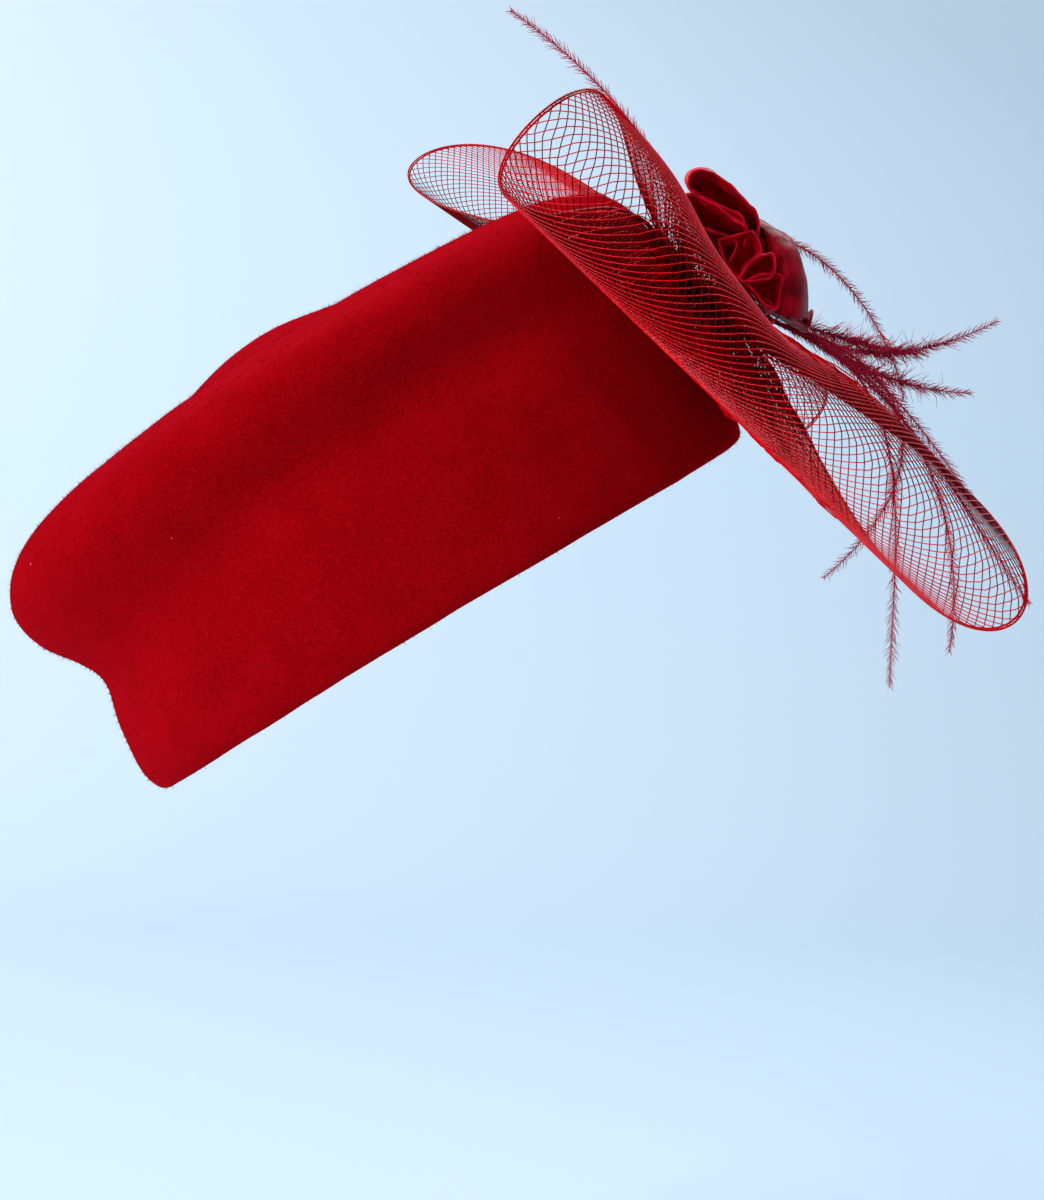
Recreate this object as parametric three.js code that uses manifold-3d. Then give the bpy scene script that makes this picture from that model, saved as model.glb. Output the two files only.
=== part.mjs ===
// Felt pillbox hat with a wide net bow, a fabric rose and a spray of feathers, in millimetres.
// The hat is worn tipped back: +X is its front, +Y the wearer's left, +Z up.
// The origin is the middle of the head opening, in the plane of the crown's lower edge.
import * as THREE from 'three';
import { mergeVertices } from 'three/addons/utils/BufferGeometryUtils.js';
import Module from 'manifold-3d';

const wasm = await Module();
wasm.setup();

// Crown
const crownHalfLength = 113;
const crownHalfWidth = 86;
const crownHeight = 103;
const feltWall = 2.2;
const sideArch = 6; // the lower edge rises this much over each ear
const wornTilt = 31.6; // degrees, front edge up
const crownSteps = 48;

// Bow
const bowLevel = 0.41748; // middle of the bow above the crown's lower edge, as a share of the crown's height
const bowLean = 13.4; // degrees that the bow's face looks up from the crown's front
const ribbonHalfWidth = 88;
const ribbonRoom = 3; // between the felt and the middle of a ribbon that lies against it
const ribbonWall = 1.2;
const pinchHalfWidth = 11;
const loopReach = 112;
const loopDepth = 32;
const gatherDepth = 2;
const gatherCount = 4;
const gatherFade = 6; // power by which the gathers die out away from the knot
const sweepPower = 1.1;
const layerGap = 2.4; // between the two layers of a wing at the knot
const bowHeight = bowLevel * crownHeight;

// Knot and rose
const knotHalfLength = 6;
const knotHalfWidth = 14;
const knotBack = 3.5;
const knotFront = 8;
const knotCorner = 3;
const baseRadius = 16.5;
const baseThickness = 2;
const roseRadius = 30;
const roseHeight = 23;
const petalWall = 1.1;
const petalCup = 1.35; // power by which a petal opens late, after it has risen
const petalRound = 0.3; // share of its length that a petal's corners are rounded off by
const lipStart = 0.7; // share of its length where a petal starts to roll over
const budTurns = 1.75;
const budInnerRadius = 1.3;
const budPitch = 1.95; // between one turn of the bud and the next
const budFlare = 0.45; // share by which the bud's mouth is wider than its foot

// Feathers
const headRadius = 2.4;
const headHeight = 2;
const sprayReach = 100;
const plumeWidth = 4.4;
const plumeThickness = 1.1;
const quillWidth = 1.3;

const clearance = 0.3;
const degrees = Math.PI / 180;

// Crown sections from the turned-in edge up to the top. level is a share of the crown's height,
// front and back are shares of its half length, and side is a share of its half width.
const crownSections = [
  { level: 0.081, front: 0.925, back: 0.925, side: 0.925 },
  { level: 0.022, front: 0.930, back: 0.930, side: 0.930 },
  { level: 0.000, front: 0.955, back: 0.952, side: 0.955 },
  { level: 0.026, front: 0.975, back: 0.978, side: 0.980 },
  { level: 0.102, front: 0.983, back: 0.993, side: 0.990 },
  { level: 0.245, front: 0.995, back: 0.975, side: 0.990 },
  { level: 0.382, front: 1.008, back: 0.952, side: 0.975 },
  { level: 0.469, front: 1.016, back: 0.978, side: 0.965 },
  { level: 0.580, front: 1.025, back: 1.046, side: 0.965 },
  { level: 0.693, front: 1.035, back: 1.060, side: 0.985 },
  { level: 0.785, front: 1.015, back: 1.000, side: 0.985 },
  { level: 0.862, front: 0.955, back: 0.885, side: 0.925 },
  { level: 0.920, front: 0.830, back: 0.725, side: 0.785 },
  { level: 0.958, front: 0.620, back: 0.545, side: 0.580 },
  { level: 0.986, front: 0.330, back: 0.320, side: 0.320 },
  { level: 1.000, front: 0.000, back: 0.000, side: 0.000 },
];

// Soft dents and bumps of the felt. around is an angle from the front towards the left side, in degrees, as is
// its spread; level and rise are shares of the crown's height, inward and lift the depth as shares of it.
const crownDents = [
  { around: -72, spread: 30, level: 0.60, rise: 0.13, inward: 0.048, lift: 0 },
  { around: -112, spread: 20, level: 0.50, rise: 0.12, inward: 0.034, lift: 0 },
  { around: 85, spread: 38, level: 0.58, rise: 0.14, inward: 0.036, lift: 0 },
  { around: -150, spread: 22, level: 0.84, rise: 0.10, inward: -0.020, lift: 0.010 },
  { around: 108, spread: 30, level: 0.92, rise: 0.10, inward: 0, lift: 0.078 },
  { around: 180, spread: 30, level: 0.37, rise: 0.08, inward: 0.010, lift: 0 },
];

// The two wings of the bow. rise and sweep are shares of the ribbon's half width: how far the wing's end stands
// above the knot, and how far it leans forward. twist leans its top by this share more than its middle, and its
// foot by as much less. depth is a share of loopDepth, spread makes the wing thicker at its top than at its foot,
// and a fan below 1 widens the ribbon early from its pinch.
const wings = [
  { name: 'crin_loop_right', side: -1, rise: -0.268, sweep: -0.070, twist: 0, depth: 1.00, spread: 0.12, fan: 0.5 },
  { name: 'crin_loop_left', side: 1, rise: 0.300, sweep: -0.205, twist: 1, depth: 0.82, spread: 0.05, fan: 0.7 },
];

// Petals. around is an angle from the left side towards the top, in degrees, and halfSpan half the angle
// that a petal takes. foot and reach are shares of the rose's radius, rise a share of its height.
const innerPetals = [
  { around: 40, halfSpan: 54, foot: 0.24, reach: 0.46, rise: 0.97 },
  { around: 130, halfSpan: 54, foot: 0.31, reach: 0.55, rise: 0.85 },
  { around: 220, halfSpan: 54, foot: 0.24, reach: 0.46, rise: 0.96 },
  { around: 310, halfSpan: 54, foot: 0.31, reach: 0.55, rise: 0.83 },
];
const outerPetals = [
  { around: 90, halfSpan: 45, foot: 0.39, reach: 0.97, rise: 0.76 },
  { around: 162, halfSpan: 45, foot: 0.46, reach: 1.00, rise: 0.61 },
  { around: 234, halfSpan: 45, foot: 0.53, reach: 1.20, rise: 0.45 },
  { around: 306, halfSpan: 45, foot: 0.46, reach: 1.12, rise: 0.61 },
  { around: 18, halfSpan: 45, foot: 0.53, reach: 1.04, rise: 0.46 },
];

// Feather strands by bunch. around places the bunch's head on the rim of the rose's backing, in degrees as the
// petals are. forward, up and left place a strand's tip and swing the way that it sets out to the left, as
// shares of the spray's reach. leave and arrive are its directions there, in degrees up from forward, and
// slack is how far it keeps to them, as a share of the way from head to tip.
const bunches = [
  {
    name: 'feathers_top', around: 84, strands: [
      { forward: 0.11, up: 1.06, left: 0.04, swing: 0, leave: 58, arrive: 100, slack: 0.34 },
    ],
  },
  {
    name: 'feathers_left', around: 4, strands: [
      { forward: 0.15, up: -0.69, left: 0.15, swing: 0.85, leave: 18, arrive: -124, slack: 0.55 },
    ],
  },
  {
    name: 'feathers_front', around: -38, strands: [
      { forward: 0.30, up: -0.63, left: 0.15, swing: 0.02, leave: -66, arrive: -50, slack: 0.33 },
      { forward: 0.53, up: -0.71, left: 0.12, swing: 0.01, leave: -78, arrive: -18, slack: 0.42 },
      { forward: 0.31, up: -0.81, left: 0.06, swing: 0, leave: -74, arrive: -46, slack: 0.36 },
    ],
  },
  {
    name: 'feathers_low', around: -98, strands: [
      { forward: -0.31, up: -1.35, left: -0.02, swing: 0, leave: -62, arrive: -142, slack: 0.38 },
      { forward: -0.43, up: -0.89, left: -0.06, swing: 0, leave: -58, arrive: 176, slack: 0.60 },
      { forward: -0.52, up: -1.28, left: -0.10, swing: 0, leave: -60, arrive: -135, slack: 0.42 },
      { forward: -0.02, up: -1.43, left: 0.04, swing: 0, leave: -66, arrive: -98, slack: 0.36 },
      { forward: 0.07, up: -1.08, left: 0.02, swing: 0, leave: -60, arrive: -100, slack: 0.36 },
    ],
  },
];

// A closed body from its corner points and faces, turned so that its faces point out.
function closedGeometry(points, faces) {
  const raw = new THREE.BufferGeometry();
  raw.setAttribute('position', new THREE.Float32BufferAttribute(points.flatMap((p) => [p.x, p.y, p.z]), 3));
  raw.setIndex(faces.flat());
  const merged = mergeVertices(raw, 1e-4);
  const position = merged.getAttribute('position');
  const corner = (k) => new THREE.Vector3().fromBufferAttribute(position, k);
  const kept = [];
  let volume = 0;
  for (let f = 0; f < merged.index.count; f += 3) {
    const [a, b, c] = [0, 1, 2].map((k) => merged.index.getX(f + k));
    if (a === b || b === c || c === a) continue;
    kept.push([a, b, c]);
    volume += corner(a).dot(corner(b).cross(corner(c)));
  }
  merged.setIndex((volume < 0 ? kept.map(([a, b, c]) => [a, c, b]) : kept).flat());
  merged.computeVertexNormals();
  return merged;
}

// A curved wall. place(s, t) gives its face for shares s and t of the way along and across, and the wall goes
// from outside to inside of that face. It can be closed round t, and closed to a point at s = 1.
function wallGeometry({ along, across, outside, inside, place, round = false, poleNormal = null }) {
  const columns = round ? across : across + 1;
  const face = [];
  for (let i = 0; i <= along; i++) {
    for (let j = 0; j < columns; j++) face.push(place(i / along, j / across));
  }
  const at = (i, j) => {
    const row = Math.min(Math.max(i, 0), along);
    const column = round ? (j + columns) % columns : Math.min(Math.max(j, 0), across);
    return row * columns + column;
  };
  const points = [];
  for (const offset of [outside, inside]) {
    for (let i = 0; i <= along; i++) {
      for (let j = 0; j < columns; j++) {
        const down = face[at(i + 1, j)].clone().sub(face[at(i - 1, j)]);
        const over = face[at(i, j + 1)].clone().sub(face[at(i, j - 1)]);
        const normal = i === along && poleNormal ? poleNormal.clone() : over.cross(down).normalize();
        points.push(face[at(i, j)].clone().addScaledVector(normal, offset));
      }
    }
  }
  const inner = face.length;
  const faces = [];
  const quad = (a, b, c, d) => faces.push([a, b, c], [a, c, d]);
  for (let i = 0; i < along; i++) {
    for (let j = 0; j < across; j++) {
      quad(at(i, j), at(i, j + 1), at(i + 1, j + 1), at(i + 1, j));
      quad(inner + at(i, j), inner + at(i + 1, j), inner + at(i + 1, j + 1), inner + at(i, j + 1));
    }
    if (!round) {
      quad(at(i, 0), at(i + 1, 0), inner + at(i + 1, 0), inner + at(i, 0));
      quad(at(i + 1, across), at(i, across), inner + at(i, across), inner + at(i + 1, across));
    }
  }
  for (let j = 0; j < across; j++) {
    quad(at(0, j + 1), at(0, j), inner + at(0, j), inner + at(0, j + 1));
    if (!poleNormal) quad(at(along, j), at(along, j + 1), inner + at(along, j + 1), inner + at(along, j));
  }
  return closedGeometry(points, faces);
}

function toSolid(geometry) {
  const bare = geometry.clone();
  bare.deleteAttribute('normal');
  bare.deleteAttribute('uv');
  const merged = mergeVertices(bare, 1e-4);
  const vertProperties = new Float32Array(merged.getAttribute('position').array);
  const triVerts = new Uint32Array(merged.index.array);
  return new wasm.Manifold(new wasm.Mesh({ numProp: 3, vertProperties, triVerts }));
}

function fuse(geometries) {
  const whole = geometries.map(toSolid).reduce((sum, solid) => sum.add(solid)).getMesh();
  const fused = new THREE.BufferGeometry();
  fused.setAttribute('position', new THREE.Float32BufferAttribute(whole.vertProperties, 3));
  fused.setIndex(Array.from(whole.triVerts));
  fused.computeVertexNormals();
  return fused;
}

function material(color, roughness) {
  return new THREE.MeshStandardMaterial({ color, roughness, metalness: 0, side: THREE.FrontSide });
}

const feltRed = () => material(0xa5050f, 0.95);
const netRed = () => material(0xc8101c, 0.45);
const satinRed = () => material(0x9c0620, 0.35);
const featherRed = () => material(0x7c0a26, 0.8);

function piece(name, geometry, finish) {
  const mesh = new THREE.Mesh(geometry, finish);
  mesh.name = name;
  return mesh;
}

// How strongly a dent works at an angle round the crown and a share of its height
function dentAt(dent, around, level) {
  const turn = Math.atan2(Math.sin(around - dent.around * degrees), Math.cos(around - dent.around * degrees));
  return Math.exp(-((turn / (dent.spread * degrees)) ** 2) - ((level - dent.level) / dent.rise) ** 2);
}

function crownPoint(section, around) {
  const reach = Math.cos(around) > 0 ? section.front : section.back;
  let inward = 0;
  let lift = 0;
  for (const dent of crownDents) {
    const strength = dentAt(dent, around, section.level);
    inward += dent.inward * strength * crownHeight;
    lift += dent.lift * strength * crownHeight;
  }
  const plan = new THREE.Vector2(
    crownHalfLength * reach * Math.cos(around),
    crownHalfWidth * section.side * Math.sin(around),
  );
  plan.multiplyScalar(1 - inward / crownHalfWidth);
  const arch = sideArch * (Math.sin(around) * (1 - section.level)) ** 2;
  return new THREE.Vector3(plan.x, plan.y, crownHeight * section.level + arch + lift * section.side);
}

function feltCrown() {
  const last = crownSections.length - 1;
  const geometry = wallGeometry({
    along: last,
    across: crownSteps,
    outside: 0,
    inside: -feltWall,
    round: true,
    poleNormal: new THREE.Vector3(0, 0, 1),
    place: (s, t) => crownPoint(crownSections[Math.round(s * last)], t * 2 * Math.PI),
  });
  return piece('felt_crown', geometry, feltRed());
}

// How far forward the crown's front wall stands at a height
function crownFrontAt(height) {
  const points = crownSections.slice(2).map((section) => crownPoint(section, 0));
  const above = Math.max(1, points.findIndex((point) => point.z >= height));
  const [low, high] = [points[above - 1], points[above]];
  return THREE.MathUtils.mapLinear(height, low.z, high.z, low.x, high.x);
}

// How far back the knot reaches at a height above its middle
function knotBackAt(up) {
  const past = Math.max(0, Math.abs(up) - (knotHalfWidth - knotCorner));
  return knotBack - knotCorner + Math.sqrt(knotCorner ** 2 - past ** 2);
}

// The knot's back stands one clearance in front of the crown where the two come nearest.
function knotStandOff() {
  const lean = bowLean * degrees;
  let standOff = 0;
  for (let step = -20; step <= 20; step++) {
    const up = (step / 20) * knotHalfWidth;
    const height = bowHeight + up * Math.cos(lean) - knotBackAt(up) * Math.sin(lean);
    const forward = -knotBackAt(up) * Math.cos(lean) - up * Math.sin(lean);
    standOff = Math.max(standOff, crownFrontAt(height) - forward + clearance);
  }
  return standOff;
}

// Half length and half width of the crown at a height
function crownReachAt(height) {
  const level = Math.min(Math.max(height / crownHeight, 0), 1);
  const sections = crownSections.slice(2);
  const above = Math.max(1, sections.findIndex((section) => section.level >= level));
  const [low, high] = [sections[above - 1], sections[above]];
  const share = (level - low.level) / (high.level - low.level);
  return [
    crownHalfLength * THREE.MathUtils.lerp(low.front, high.front, share),
    crownHalfWidth * THREE.MathUtils.lerp(low.side, high.side, share),
  ];
}

// Where a ribbon would run into the felt, it lies against the outside of the crown instead.
function againstCrown(point) {
  const onHat = point.clone().applyMatrix4(bowPlace);
  if (onHat.z < 0 || onHat.z > crownHeight) return point;
  const [halfLength, halfWidth] = crownReachAt(onHat.z);
  const inside = Math.hypot(onHat.x / (halfLength + ribbonRoom), onHat.y / (halfWidth + ribbonRoom));
  if (inside > 1 || inside === 0) return point;
  onHat.x /= inside;
  onHat.y /= inside;
  return onHat.applyMatrix4(bowPlace.clone().invert());
}

// One wing of the bow: the ribbon leaves the knot in front, turns round at the wing's end and comes back behind.
function ribbonPoint(wing, along, across) {
  const turn = Math.PI * along;
  const out = Math.sin(turn) ** 2;
  const start = knotHalfLength + clearance + ribbonWall / 2;
  const q = 2 * across - 1;
  const halfWidth = pinchHalfWidth + (ribbonHalfWidth - pinchHalfWidth) * out ** wing.fan;
  const belly = (wing.depth * loopDepth / 2) / 0.7698; // sin(2a) * sin(a) is 0.7698 at its most
  const layer = belly * Math.sin(2 * turn) * Math.sin(turn) + (layerGap / 2) * Math.cos(turn);
  const gather = gatherDepth * Math.cos(Math.PI * gatherCount * q) * (1 - out) ** gatherFade;
  const leaned = wing.sweep * (1 + wing.twist * q) * ribbonHalfWidth * out ** sweepPower;
  return againstCrown(new THREE.Vector3(
    layer * (1 + wing.spread * q) + leaned + gather,
    wing.side * (start + (loopReach - start) * out),
    wing.rise * ribbonHalfWidth * out + q * halfWidth,
  ));
}

function crinLoop(wing) {
  const geometry = wallGeometry({
    along: 22,
    across: 16,
    outside: ribbonWall / 2,
    inside: -ribbonWall / 2,
    place: (s, t) => ribbonPoint(wing, s, t),
  });
  return piece(wing.name, geometry, netRed());
}

function bowKnot() {
  const [back, front, side] = [-knotBack + knotCorner, knotFront - knotCorner, knotHalfWidth - knotCorner];
  const outline = new THREE.Shape();
  outline.absarc(front, side, knotCorner, 90 * degrees, 0, true);
  outline.absarc(front, -side, knotCorner, 0, -90 * degrees, true);
  outline.absarc(back, -side, knotCorner, -90 * degrees, -180 * degrees, true);
  outline.absarc(back, side, knotCorner, 180 * degrees, 90 * degrees, true);
  const geometry = new THREE.ExtrudeGeometry(outline, {
    depth: 2 * knotHalfLength, bevelEnabled: false, curveSegments: 4,
  });
  geometry.translate(0, 0, -knotHalfLength).rotateX(Math.PI / 2);
  return piece('bow_knot', geometry, netRed());
}

// The rose's pieces stand on their backing, with +Z along the rose's own axis.
function roseBase() {
  const geometry = new THREE.CylinderGeometry(baseRadius, baseRadius, baseThickness, 24);
  geometry.rotateX(Math.PI / 2).translate(0, 0, baseThickness / 2);
  return piece('rose_base', geometry, satinRed());
}

// A petal rises from its foot, opens outwards and rolls over at its rounded lip.
function petalPoint(row, along, across) {
  const q = 2 * across - 1;
  const up = along * (1 - petalRound * q * q * along);
  const radius = roseRadius * (row.foot + (row.reach - row.foot) * up ** petalCup);
  const angle = (row.around + row.halfSpan * q * (0.82 + 0.18 * along)) * degrees;
  const height = roseHeight * (row.rise * up - Math.max(0, up - lipStart) ** 2);
  return new THREE.Vector3(
    radius * Math.cos(angle),
    radius * Math.sin(angle),
    baseThickness + clearance + petalWall / 4 + height,
  );
}

function rosePetal(name, row) {
  const geometry = wallGeometry({
    along: 7,
    across: 8,
    outside: petalWall / 2,
    inside: -petalWall / 2,
    place: (s, t) => petalPoint(row, s, t),
  });
  return piece(name, geometry, satinRed());
}

// The bud is one strip of fabric rolled up, wider at its mouth than at its foot.
function roseBud() {
  const geometry = wallGeometry({
    along: 24,
    across: 3,
    outside: petalWall / 2,
    inside: -petalWall / 2,
    place: (s, t) => {
      const turned = s * budTurns;
      const angle = turned * 2 * Math.PI;
      const radius = (budInnerRadius + budPitch * turned) * (1 + budFlare * t);
      const height = baseThickness + clearance + roseHeight * t * (0.98 - 0.12 * s);
      return new THREE.Vector3(radius * Math.cos(angle), radius * Math.sin(angle), height);
    },
  });
  return piece('rose_bud', geometry, satinRed());
}

// A feather strand along its curve: a flat, four-cornered plume that narrows to its quill and its tip.
function featherStrand(curve) {
  const steps = 14;
  const points = [];
  const faces = [];
  for (let i = 0; i <= steps; i++) {
    const s = i / steps;
    const middle = curve.getPoint(s);
    const ahead = curve.getTangent(s);
    const flat = new THREE.Vector3(0, 1, 0).addScaledVector(ahead, -ahead.y).normalize();
    const edge = ahead.clone().cross(flat);
    const fullness = Math.sin(Math.PI * Math.min(1, 0.12 + 0.84 * s));
    const halfWidth = (quillWidth + (plumeWidth - quillWidth) * fullness * s ** 0.4) / 2;
    for (const [wide, deep] of [[1, 0], [0, 1], [-1, 0], [0, -1]]) {
      const corner = middle.clone().addScaledVector(edge, wide * halfWidth);
      points.push(corner.addScaledVector(flat, (deep * plumeThickness) / 2));
    }
    if (i === 0) continue;
    for (let k = 0; k < 4; k++) {
      const [a, b] = [4 * i + k, 4 * i + ((k + 1) % 4)];
      faces.push([a - 4, b - 4, b], [a - 4, b, a]);
    }
  }
  const tip = 4 * steps;
  faces.push([2, 1, 0], [3, 2, 0], [tip, tip + 1, tip + 2], [tip, tip + 2, tip + 3]);
  return closedGeometry(points, faces);
}

// x is forward, y left and z up here, all from the middle of the rose's backing.
function strandCurve(head, row) {
  const tip = new THREE.Vector3(row.forward, row.left, row.up).multiplyScalar(sprayReach);
  const hold = row.slack * tip.distanceTo(head);
  const heading = (angle) => new THREE.Vector3(Math.cos(angle * degrees), 0, Math.sin(angle * degrees));
  const first = head.clone().addScaledVector(heading(row.leave), hold);
  first.y += row.swing * sprayReach;
  const second = tip.clone().addScaledVector(heading(row.arrive), -hold);
  return new THREE.CubicBezierCurve3(head, first, second, tip);
}

// The bound head of a bunch stands beside the rim of the rose's backing.
function featherBunch(bunch) {
  const middle = baseRadius + clearance + headRadius;
  const head = new THREE.Vector3(
    baseThickness / 2,
    middle * Math.cos(bunch.around * degrees),
    middle * Math.sin(bunch.around * degrees),
  );
  const binding = new THREE.CylinderGeometry(headRadius, headRadius, headHeight, 8);
  binding.rotateZ(Math.PI / 2).translate(head.x, head.y, head.z);
  const strands = bunch.strands.map((row) => featherStrand(strandCurve(head, row)));
  return piece(bunch.name, fuse([binding, ...strands]), featherRed());
}

const bowPlace = new THREE.Matrix4().makeRotationY(-bowLean * degrees);
bowPlace.setPosition(knotStandOff(), 0, bowHeight);

const rose = new THREE.Group();
rose.add(roseBase(), roseBud());
innerPetals.forEach((row, k) => rose.add(rosePetal(`rose_petal_inner_${k + 1}`, row)));
outerPetals.forEach((row, k) => rose.add(rosePetal(`rose_petal_outer_${k + 1}`, row)));
rose.quaternion.setFromRotationMatrix(new THREE.Matrix4().makeBasis(
  new THREE.Vector3(0, 1, 0),
  new THREE.Vector3(0, 0, 1),
  new THREE.Vector3(1, 0, 0),
));
rose.position.x = knotFront + clearance;

const spray = new THREE.Group();
bunches.forEach((bunch) => spray.add(featherBunch(bunch)));
spray.position.x = knotFront + clearance;

const bow = new THREE.Group();
bow.add(bowKnot(), rose, spray);
wings.forEach((wing) => bow.add(crinLoop(wing)));
bow.applyMatrix4(bowPlace);

const hat = new THREE.Group();
hat.add(feltCrown(), bow);
hat.rotation.y = -wornTilt * degrees;

export default hat;
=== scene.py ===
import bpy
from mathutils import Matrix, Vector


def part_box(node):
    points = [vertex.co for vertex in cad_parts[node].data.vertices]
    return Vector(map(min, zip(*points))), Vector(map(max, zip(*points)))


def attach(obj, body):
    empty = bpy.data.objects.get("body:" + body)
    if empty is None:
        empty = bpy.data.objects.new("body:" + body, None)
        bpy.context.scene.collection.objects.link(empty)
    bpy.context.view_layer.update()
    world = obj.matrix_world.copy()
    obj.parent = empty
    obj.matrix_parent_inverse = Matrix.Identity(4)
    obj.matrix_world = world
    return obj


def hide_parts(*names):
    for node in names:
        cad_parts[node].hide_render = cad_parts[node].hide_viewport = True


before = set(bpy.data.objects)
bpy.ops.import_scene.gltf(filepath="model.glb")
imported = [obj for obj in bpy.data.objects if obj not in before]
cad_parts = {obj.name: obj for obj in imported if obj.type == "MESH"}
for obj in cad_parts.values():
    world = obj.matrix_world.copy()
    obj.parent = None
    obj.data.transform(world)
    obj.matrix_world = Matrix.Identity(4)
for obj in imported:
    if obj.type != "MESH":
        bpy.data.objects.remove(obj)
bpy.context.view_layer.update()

import math
import random

import bpy
import numpy as np
from mathutils import Matrix, Vector, noise

millimetre = 0.001
mergeGap = 1e-6  # corners nearer to each other than this are one

view = {"place": (0.0558, -0.560, 0.0869), "lens": 52.5, "down": 8.387, "turn": 3.3, "nearest": 0.01}


def setCamera():
    tilt = (math.radians(90 - view["down"]), 0, math.radians(view["turn"]))
    bpy.ops.object.camera_add(location=view["place"], rotation=tilt)
    eye = bpy.context.object
    eye.data.lens = view["lens"]
    eye.data.clip_start = view["nearest"]
    bpy.context.scene.camera = eye


# Small helpers that every piece uses

def deselect():
    if bpy.context.object and bpy.context.object.mode != "OBJECT":
        bpy.ops.object.mode_set(mode="OBJECT")
    bpy.ops.object.select_all(action="DESELECT")


def pick(piece):
    deselect()
    piece.select_set(True)
    bpy.context.view_layer.objects.active = piece


# One operator on every face of a piece
def editWhole(piece, operator, **values):
    pick(piece)
    bpy.ops.object.mode_set(mode="EDIT")
    bpy.ops.mesh.select_all(action="SELECT")
    operator(**values)
    bpy.ops.object.mode_set(mode="OBJECT")


def addModifier(piece, kind, **values):
    pick(piece)
    modifier = piece.modifiers.new(kind.title(), kind)
    for key, value in values.items():
        setattr(modifier, key, value)
    bpy.ops.object.modifier_apply(modifier=modifier.name)


def addMesh(name, points, faces):
    mesh = bpy.data.meshes.new(name)
    mesh.from_pydata(points, [], faces)
    mesh.update()
    piece = bpy.data.objects.new(name, mesh)
    bpy.context.scene.collection.objects.link(piece)
    return piece


def joinPieces(name, parts):
    deselect()
    for part in parts:
        part.select_set(True)
    bpy.context.view_layer.objects.active = parts[0]
    bpy.ops.object.join()
    parts[0].name = parts[0].data.name = name
    return parts[0]


# A flat patch of cloth, cut to columns by rows and then laid where layAt puts it
def layPatch(name, columns, rows, layAt):
    deselect()
    bpy.ops.mesh.primitive_grid_add(x_subdivisions=columns, y_subdivisions=rows, size=1)
    patch = bpy.context.object
    patch.name = patch.data.name = name
    for corner in patch.data.vertices:
        corner.co = layAt(corner.co.x + 0.5, corner.co.y + 0.5)
    editWhole(patch, bpy.ops.mesh.remove_doubles, threshold=mergeGap)
    return patch


# The size that a patch is cut to, as the mean of its rows and of its columns once it is laid
def cutSize(layAt, steps=30):
    shares = [k / steps for k in range(steps + 1)]
    pairs = list(zip(shares, shares[1:]))
    across = [sum((layAt(b, y) - layAt(a, y)).length for a, b in pairs) for y in shares]
    along = [sum((layAt(x, b) - layAt(x, a)).length for a, b in pairs) for x in shares]
    return sum(across) / len(across), sum(along) / len(along)


# Turns a patch over where its faces look towards a point that they should look away from
def faceAway(patch, point):
    looks = sum((f.center - Vector(point)).dot(f.normal) * f.area for f in patch.data.polygons)
    if looks < 0:
        editWhole(patch, bpy.ops.mesh.flip_normals)


# A thread's sides are set out from a guide that it doesn't run along, the second for one that starts along Y
guides = {"usual": (0.31, 0.87, 0.38), "alongY": (0.9, 0.1, 0.4), "steep": 0.9}


# Thin round threads along many lines at once, thinner at their tips where a tip's radius is given
def drawThreads(name, lines, radius, tipRadius=None, sides=3):
    points, faces, shares = [], [], []
    turns = [2 * math.pi * k / sides for k in range(sides)]
    thinned = (radius if tipRadius is None else tipRadius) - radius
    for line in lines:
        line = np.asarray(line, float)
        count = len(line)
        ahead = np.gradient(line, axis=0)
        ahead /= np.linalg.norm(ahead, axis=1)[:, None]
        guide = guides["usual" if abs(ahead[0][1]) < guides["steep"] else "alongY"]
        side = np.cross(ahead, guide)
        side /= np.linalg.norm(side, axis=1)[:, None]
        up = np.cross(side, ahead)
        along = np.linspace(0, 1, count)
        reach = radius + thinned * along
        first = len(points)
        for i in range(count):
            for turn in turns:
                points.append(line[i] + reach[i] * (math.cos(turn) * side[i] + math.sin(turn) * up[i]))
                shares.append(along[i])
        for i in range(count - 1):
            for k in range(sides):
                a, b = first + i * sides + k, first + i * sides + (k + 1) % sides
                faces.append((a, b, b + sides, a + sides))
        faces.append([first + k for k in reversed(range(sides))])
        faces.append([first + (count - 1) * sides + k for k in range(sides)])
    piece = addMesh(name, points, faces)
    piece.data.attributes.new("share", "FLOAT", "POINT").data.foreach_set("value", shares)
    return piece


def finishPiece(piece, finish=None, node=None):
    pick(piece)
    bpy.ops.object.shade_smooth()
    if finish:
        piece.data.materials.append(finish)
    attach(piece, "root")
    if node:
        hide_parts(node)


# Material helpers

def newFinish(name, **values):
    finish = bpy.data.materials.new(name)
    finish.use_nodes = True
    shader = finish.node_tree.nodes["Principled BSDF"]
    for key, value in values.items():
        shader.inputs[key.replace("_", " ")].default_value = value
    return finish


def addNode(finish, kind, sources=None, **values):
    node = finish.node_tree.nodes.new(kind)
    for key, value in values.items():
        if key in node.inputs:
            node.inputs[key].default_value = value
        else:
            setattr(node, key, value)
    for key, source in (sources or {}).items():
        finish.node_tree.links.new(source, node.inputs[key])
    return node


def addNoise(finish, where, scale, detail, roughness=0.5):
    values = {"Scale": scale, "Detail": detail, "Roughness": roughness}
    return addNode(finish, "ShaderNodeTexNoise", {"Vector": where}, **values).outputs["Fac"]


# Each stop is a place along the share and the colour there
def blendColours(finish, share, *stops):
    ramp = addNode(finish, "ShaderNodeValToRGB", {"Fac": share})
    while len(ramp.color_ramp.elements) < len(stops):
        ramp.color_ramp.elements.new(0.5)
    for element, (place, colour) in zip(ramp.color_ramp.elements, stops):
        element.position = place
        element.color = (*colour, 1)
    return ramp.outputs["Color"]


def plug(finish, source, socket):
    finish.node_tree.links.new(source, finish.node_tree.nodes["Principled BSDF"].inputs[socket])


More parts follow.
